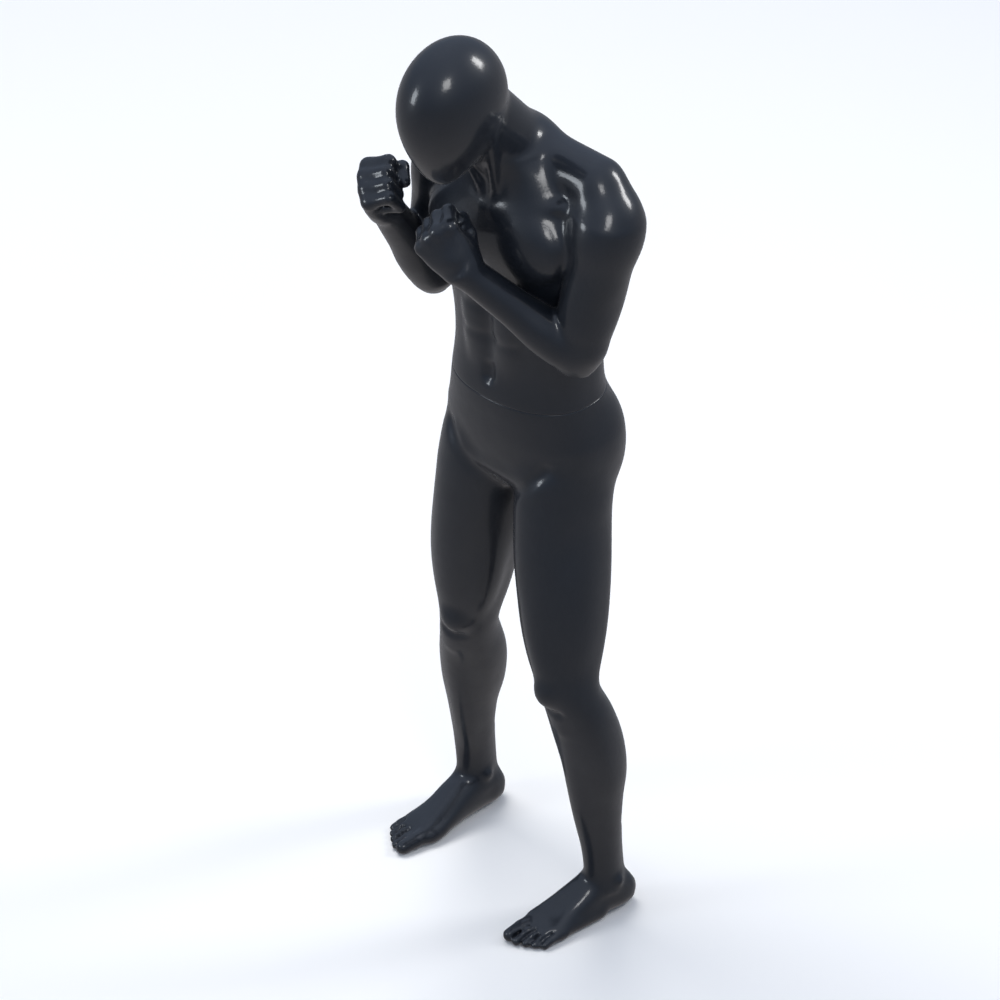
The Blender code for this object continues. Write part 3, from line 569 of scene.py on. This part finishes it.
def settle(verts, quads, rounds=5):
    """Even out the grid's ripple without shrinking the shape."""
    ends = np.concatenate([quads[:, [i, (i + 1) % 4]] for i in range(4)])
    ends = np.concatenate([ends, ends[:, ::-1]])
    count = np.bincount(ends[:, 0], minlength=len(verts))[:, None]
    for k in range(2 * rounds):
        total = np.stack([np.bincount(ends[:, 0], verts[ends[:, 1], i], len(verts))
                          for i in range(3)], 1)
        step = PULL_IN if k % 2 == 0 else -PUSH_BACK
        verts = verts + step * (total / count - verts)
    return verts


# The row frame: the pelvis axis stands on the waist joint.
TURN = next(joint for joint in frame["joints"] if joint["name"] == "waist_turn")
PELVIS = Vector((TURN["pos_m"][0], TURN["pos_m"][1], 0.0))
SEAM_GAP = 0.0004        # the two halves stop this far apart
CHAMFER = 0.0010         # eased edge along the seam
CHAMFER_INWARD = 0.7     # how far it leans in, as a share of its height
SOCKET_HOLE = 0.0003     # clearance round the foot socket and its set screw
SOCKET_HEADROOM = 0.002  # space over the top of the socket tube
CUT_PAST = 0.010         # how far a cutter runs past the face it opens
SPECK_FACES = 400        # loose surfaces with fewer faces are dropped

SKIN = (
    ("upper_body_skin", "upper_body", ("torso_shell", "head_shell", "left_arm_shell",
                                       "right_arm_shell", "left_fist", "right_fist")),
    ("lower_body_skin", "lower_body", ("pelvis_shell", "left_leg_shell", "right_leg_shell")),
)


def skin_surface():
    """The outer skin, and the wall of the hollow that each half opens into at the seam."""
    field = sculpt_figure(STEP)
    verts, quads = field.surface()
    z = field.grid((0, 0, 0), field.shape)[2]
    field.d = np.maximum(field.d + WALL, np.abs(z - SEAM_Z) - CAVITY).astype(np.float32)
    inner_verts, inner_quads = field.surface()
    quads = np.concatenate([quads, inner_quads[:, ::-1] + len(verts)])
    verts = settle(np.concatenate([verts, inner_verts]), quads)
    return verts + np.array([PELVIS.x, PELVIS.y, 0.0]), quads


def mesh_object(name, verts, quads):
    """A mesh of quads, linked to the scene."""
    data = bpy.data.meshes.new(name)
    data.vertices.add(len(verts))
    data.vertices.foreach_set("co", verts.astype(np.float32).ravel())
    data.loops.add(quads.size)
    data.loops.foreach_set("vertex_index", quads.astype(np.int32).ravel())
    data.polygons.add(len(quads))
    data.polygons.foreach_set("loop_start", np.arange(0, quads.size, 4, dtype=np.int32))
    data.update(calc_edges=True)
    data.validate()
    made = bpy.data.objects.new(name, data)
    bpy.context.scene.collection.objects.link(made)
    return made


def loops_of(edges):
    """The separate rings that these edges form."""
    left = set(edges)
    rings = []
    while left:
        edge = left.pop()
        ring = [edge]
        vert = edge.verts[1]
        while True:
            step = next((e for e in vert.link_edges if e in left), None)
            if step is None:
                break
            left.remove(step)
            ring.append(step)
            vert = step.other_vert(vert)
        rings.append(ring)
    return rings


def drop_specks(bm):
    """Remove loose bits of surface too small to see, left where fingers or toes touch."""
    left = set(bm.faces)
    while left:
        island = [left.pop()]
        for face in island:
            near = {f for e in face.edges for f in e.link_faces} & left
            left -= near
            island.extend(near)
        if len(island) < SPECK_FACES:
            bmesh.ops.delete(bm, geom=island, context="FACES")


def cut_half(thing, side):
    """Keep the part above (side 1) or below (side -1) the seam, with a flat, eased rim."""
    bm = bmesh.new()
    bm.from_mesh(thing.data)

    def cut(height, clear):
        everything = bm.verts[:] + bm.edges[:] + bm.faces[:]
        return bmesh.ops.bisect_plane(bm, geom=everything, plane_co=(0, 0, height),
                                      plane_no=(0, 0, side), clear_inner=clear)["geom_cut"]

    cut(SEAM_Z + side * (SEAM_GAP / 2 + CHAMFER), False)
    rim = [g for g in cut(SEAM_Z + side * SEAM_GAP / 2, True)
           if isinstance(g, bmesh.types.BMEdge)]
    rings = sorted(loops_of(rim), key=len)
    outer = {v for e in rings[-1] for v in e.verts}
    middle = sum((v.co for v in outer), Vector()) / len(outer)
    for v in outer:
        away = Vector((v.co.x - middle.x, v.co.y - middle.y, 0.0)).normalized()
        v.co -= away * CHAMFER * CHAMFER_INWARD
    bmesh.ops.triangle_fill(bm, use_beauty=True, use_dissolve=False, edges=rings[-1] + rings[-2],
                            normal=(0, 0, -side))
    drop_specks(bm)
    bmesh.ops.recalc_face_normals(bm, faces=bm.faces[:])
    bm.to_mesh(thing.data)
    bm.free()


def drill(thing, cutters):
    """Cut closed shapes out of a mesh."""
    for cutter in cutters:
        cut = thing.modifiers.new("hole", "BOOLEAN")
        cut.object = cutter
        cut.operation = "DIFFERENCE"
        cut.solver = "MANIFOLD"
    graph = bpy.context.evaluated_depsgraph_get()
    thing.data = bpy.data.meshes.new_from_object(thing.evaluated_get(graph))
    thing.modifiers.clear()
    for cutter in cutters:
        bpy.data.objects.remove(cutter)


def rod_between(low, high, radius, sides=40):
    """A closed cylinder from one point to the other."""
    bm = bmesh.new()
    bmesh.ops.create_cone(bm, cap_ends=True, segments=sides, radius1=radius, radius2=radius,
                          depth=(high - low).length)
    data = bpy.data.meshes.new("cutter")
    bm.to_mesh(data)
    bm.free()
    made = bpy.data.objects.new("cutter", data)
    bpy.context.scene.collection.objects.link(made)
    made.location = (low + high) / 2
    made.rotation_euler = (high - low).to_track_quat("Z", "Y").to_euler()
    return made


def socket_cutters():
    """Holes for the base-rod socket and its set screw in the left foot."""
    low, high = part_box("foot_socket_tube")
    centre = (low + high) / 2
    radius = (high.x - low.x) / 2 + SOCKET_HOLE
    tube = rod_between(Vector((centre.x, centre.y, low.z - CUT_PAST)),
                       Vector((centre.x, centre.y, high.z + SOCKET_HEADROOM)), radius)
    low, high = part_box("foot_set_screw")
    centre = (low + high) / 2
    radius = (high.x - low.x) / 2 + SOCKET_HOLE
    screw = rod_between(Vector((centre.x, low.y, centre.z)),
                        Vector((centre.x, high.y + 3 * CUT_PAST, centre.z)), radius)
    return [tube, screw]


def make_skins(paint):
    """Both halves of the skin, in place of the CAD shells."""
    verts, quads = skin_surface()
    for name, body, nodes in SKIN:
        skin = mesh_object(name, verts, quads)
        cut_half(skin, 1 if body == "upper_body" else -1)
        if body == "lower_body":
            drill(skin, socket_cutters())
        skin.data.shade_smooth()
        skin.data.set_sharp_from_angle(angle=math.radians(60))
        skin.data.materials.clear()
        skin.data.materials.append(paint)
        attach(skin, body)
        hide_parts(*nodes)


class Nodes:
    """Short calls for building a material's node tree."""

    def __init__(self, name):
        self.material = bpy.data.materials.new(name)
        self.material.use_nodes = True
        self.tree = self.material.node_tree
        self.shader = self.tree.nodes["Principled BSDF"]
        self.place = self.add("ShaderNodeTexCoord").outputs["Object"]

    def add(self, kind, **values):
        node = self.tree.nodes.new(kind)
        for key, value in values.items():
            if key in node.inputs:
                node.inputs[key].default_value = value
            else:
                setattr(node, key, value)
        return node

    def link(self, source, target):
        self.tree.links.new(source, target)

    def noise(self, scale, detail=3.0, stretch=(1, 1, 1)):
        mapping = self.add("ShaderNodeMapping")
        mapping.inputs["Scale"].default_value = stretch
        self.link(self.place, mapping.inputs["Vector"])
        node = self.add("ShaderNodeTexNoise", Scale=scale, Detail=detail)
        self.link(mapping.outputs["Vector"], node.inputs["Vector"])
        return node.outputs["Fac"]

    def ramp(self, source, stops):
        node = self.add("ShaderNodeValToRGB")
        ramp = node.color_ramp
        for k, (at, colour) in enumerate(stops):
            stop = ramp.elements[k] if k < 2 else ramp.elements.new(at)
            stop.position = at
            stop.color = (*colour, 1.0)
        self.link(source, node.inputs["Fac"])
        return node.outputs["Color"]

    def bump(self, source, strength, distance, under=None):
        node = self.add("ShaderNodeBump", Strength=strength, Distance=distance)
        self.link(source, node.inputs["Height"])
        if under is not None:
            self.link(under, node.inputs["Normal"])
        return node.outputs["Normal"]

    def set(self, **values):
        for key, value in values.items():
            self.shader.inputs[key.replace("_", " ")].default_value = value


def paint_material():
    """Anthracite lacquer: a dark satin base under a glossy coat with a faint orange peel."""
    n = Nodes("anthracite_lacquer")
    cloudy = n.ramp(n.noise(7.0, 4.0), ((0.30, (0.0080, 0.0108, 0.0165)),
                                        (0.70, (0.0105, 0.0135, 0.0200))))
    n.link(cloudy, n.shader.inputs["Base Color"])
    rough = n.ramp(n.noise(30.0, 4.0), ((0.30, (0.42, 0.42, 0.42)), (0.75, (0.52, 0.52, 0.52))))
    n.link(rough, n.shader.inputs["Roughness"])
    peel = n.bump(n.noise(260.0, 2.0), 0.10, 0.0012)
    n.link(n.bump(n.noise(1400.0, 1.0), 0.06, 0.0004, peel), n.shader.inputs["Normal"])
    n.link(peel, n.shader.inputs["Coat Normal"])
    n.set(Coat_Weight=1.0, Coat_Roughness=0.16, Coat_IOR=1.55, Specular_IOR_Level=0.35,
          Sheen_Weight=0.05, Sheen_Roughness=0.35)
    return n.material


def plywood_material():
    """Birch plywood with its grain along X."""
    n = Nodes("birch_plywood")
    grain = n.noise(60.0, 6.0, (1.0, 14.0, 14.0))
    n.link(n.ramp(grain, ((0.30, (0.36, 0.22, 0.11)), (0.55, (0.55, 0.37, 0.20)),
                          (0.80, (0.66, 0.48, 0.29)))), n.shader.inputs["Base Color"])
    n.link(n.ramp(grain, ((0.2, (0.55,) * 3), (0.9, (0.75,) * 3))), n.shader.inputs["Roughness"])
    n.link(n.bump(grain, 0.35, 0.0006), n.shader.inputs["Normal"])
    return n.material


def steel_material():
    """Bright zinc plating with a fine crystal bloom."""
    n = Nodes("zinc_plated_steel")
    crystal = n.noise(180.0, 5.0)
    n.link(n.ramp(crystal, ((0.30, (0.48, 0.49, 0.50)), (0.70, (0.66, 0.67, 0.68)))),
           n.shader.inputs["Base Color"])
    n.link(n.ramp(crystal, ((0.25, (0.24,) * 3), (0.80, (0.42,) * 3))), n.shader.inputs["Roughness"])
    n.link(n.bump(n.noise(900.0, 2.0, (1, 1, 0.1)), 0.12, 0.0003), n.shader.inputs["Normal"])
    n.set(Metallic=1.0)
    return n.material


def nylon_material():
    """Natural white nylon."""
    n = Nodes("natural_nylon")
    n.link(n.ramp(n.noise(120.0, 4.0), ((0.30, (0.66, 0.64, 0.57)), (0.75, (0.78, 0.76, 0.70)))),
           n.shader.inputs["Base Color"])
    n.link(n.ramp(n.noise(400.0, 2.0), ((0.3, (0.42,) * 3), (0.7, (0.55,) * 3))),
           n.shader.inputs["Roughness"])
    n.link(n.bump(n.noise(1500.0, 2.0), 0.10, 0.0003), n.shader.inputs["Normal"])
    n.set(Subsurface_Weight=0.05)
    return n.material


def dress_cad():
    """Wooden boards, a nylon washer, and plated steel for the rest of the inner fittings."""
    wood, nylon, steel = plywood_material(), nylon_material(), steel_material()
    replaced = {name for _, _, nodes in SKIN for name in nodes}
    for name, node in frame["nodes"].items():
        if name in replaced:
            continue
        finish = wood if "board" in name else nylon if "washer" in name else steel
        node.data.materials.clear()
        node.data.materials.append(finish)


CAMERA_AZIMUTH = math.radians(43.0)
CAMERA_ELEVATION = math.radians(35.3)
CAMERA_DISTANCE = 60.0
AIM_IN_FIGURE = Vector((0.056, -0.133, 0.878))
FRAME_HEIGHT = 1.692             # metres across the picture at the aim point


def view_axes():
    """The picture's right and up, and the way back to the camera."""
    ca, sa = math.cos(CAMERA_AZIMUTH), math.sin(CAMERA_AZIMUTH)
    ce, se = math.cos(CAMERA_ELEVATION), math.sin(CAMERA_ELEVATION)
    return Vector((ca, sa, 0)), Vector((-sa * se, ca * se, ce)), Vector((sa * ce, -ca * ce, se))


def make_camera():
    """A long lens at the viewing angle, far enough off to keep the verticals parallel."""
    data = bpy.data.cameras.new("camera")
    data.sensor_width = 36.0
    data.lens = 36.0 * CAMERA_DISTANCE / FRAME_HEIGHT
    data.clip_end = 300.0
    camera = bpy.data.objects.new("camera", data)
    bpy.context.scene.collection.objects.link(camera)
    back = view_axes()[2]
    camera.location = AIM_IN_FIGURE + PELVIS + back * CAMERA_DISTANCE
    camera.rotation_euler = back.to_track_quat("Z", "Y").to_euler()
    bpy.context.scene.camera = camera


def softbox(name, direction, distance, width, height, power, colour):
    """A rectangular light facing the figure; direction is in the picture's right, up, back."""
    data = bpy.data.lights.new(name, "AREA")
    data.shape = "RECTANGLE"
    data.size = width
    data.size_y = height
    data.energy = power
    data.color = colour
    light = bpy.data.objects.new(name, data)
    bpy.context.scene.collection.objects.link(light)
    right, up, back = view_axes()
    way = (right * direction[0] + up * direction[1] + back * direction[2]).normalized()
    light.location = AIM_IN_FIGURE + PELVIS + Vector((0, 0, 0.3)) + way * distance
    light.rotation_euler = way.to_track_quat("Z", "Y").to_euler()
    return light


def make_lights():
    """Three windows that show in the coat, and two broad lights that don't."""
    cool, plain, warm = (0.88, 0.94, 1.0), (1.0, 1.0, 1.0), (1.0, 0.90, 0.80)
    softbox("window_front", (0.16, 0.10, 0.90), 4.0, 1.10, 1.00, 22, plain)
    softbox("window_right", (0.80, 0.50, 0.10), 4.0, 0.80, 1.30, 40, plain)
    softbox("window_left", (-0.96, 0.05, 0.34), 4.0, 1.00, 1.30, 24, cool)
    overhead = softbox("overhead", (-0.25, 1.00, 0.15), 4.5, 3.60, 2.60, 185, (1.0, 0.985, 0.96))
    bounce = softbox("bounce", (0.10, -1.00, 0.45), 3.5, 3.00, 2.00, 8, warm)
    overhead.visible_glossy = bounce.visible_glossy = False


def make_world():
    """A dim studio round the figure, cool above and warm below, behind a white backdrop."""
    world = bpy.data.worlds.new("studio")
    bpy.context.scene.world = world
    world.use_nodes = True
    tree = world.node_tree
    tree.nodes.clear()
    place = tree.nodes.new("ShaderNodeTexCoord")
    split = tree.nodes.new("ShaderNodeSeparateXYZ")
    tree.links.new(place.outputs["Generated"], split.inputs["Vector"])
    spread = tree.nodes.new("ShaderNodeMapRange")
    spread.inputs["From Min"].default_value = -1.0
    tree.links.new(split.outputs["Z"], spread.inputs["Value"])
    ramp = tree.nodes.new("ShaderNodeValToRGB")
    stops = ((0.0, (0.275, 0.262, 0.265)), (0.42, (0.180, 0.190, 0.215)),
             (0.54, (0.165, 0.200, 0.265)), (1.0, (0.42, 0.48, 0.60)))
    for k, (at, colour) in enumerate(stops):
        stop = ramp.color_ramp.elements[k] if k < 2 else ramp.color_ramp.elements.new(at)
        stop.position = at
        stop.color = (*colour, 1.0)
    tree.links.new(spread.outputs["Result"], ramp.inputs["Fac"])
    studio = tree.nodes.new("ShaderNodeBackground")
    tree.links.new(ramp.outputs["Color"], studio.inputs["Color"])
    backdrop = tree.nodes.new("ShaderNodeBackground")
    backdrop.inputs["Color"].default_value = (0.97, 0.97, 0.97, 1.0)
    path = tree.nodes.new("ShaderNodeLightPath")
    mix = tree.nodes.new("ShaderNodeMixShader")
    tree.links.new(path.outputs["Is Camera Ray"], mix.inputs["Fac"])
    tree.links.new(studio.outputs["Background"], mix.inputs[1])
    tree.links.new(backdrop.outputs["Background"], mix.inputs[2])
    out = tree.nodes.new("ShaderNodeOutputWorld")
    tree.links.new(mix.outputs["Shader"], out.inputs["Surface"])


def make_floor():
    """A plain pale floor, left out of the mirror reflections on the coat."""
    bm = bmesh.new()
    bmesh.ops.create_grid(bm, x_segments=8, y_segments=8, size=12.0)
    data = bpy.data.meshes.new("floor")
    bm.to_mesh(data)
    bm.free()
    floor = bpy.data.objects.new("floor", data)
    bpy.context.scene.collection.objects.link(floor)
    floor.visible_glossy = False
    n = Nodes("pale_floor")
    n.link(n.ramp(n.noise(1.5, 2.0), ((0.3, (0.955, 0.95, 0.94)), (0.7, (0.965, 0.96, 0.95)))),
           n.shader.inputs["Base Color"])
    n.set(Roughness=0.9, Specular_IOR_Level=0.0)
    data.materials.append(n.material)


make_camera()
make_skins(paint_material())
dress_cad()
make_lights()
make_world()
make_floor()
bpy.context.scene.view_settings.view_transform = "Standard"
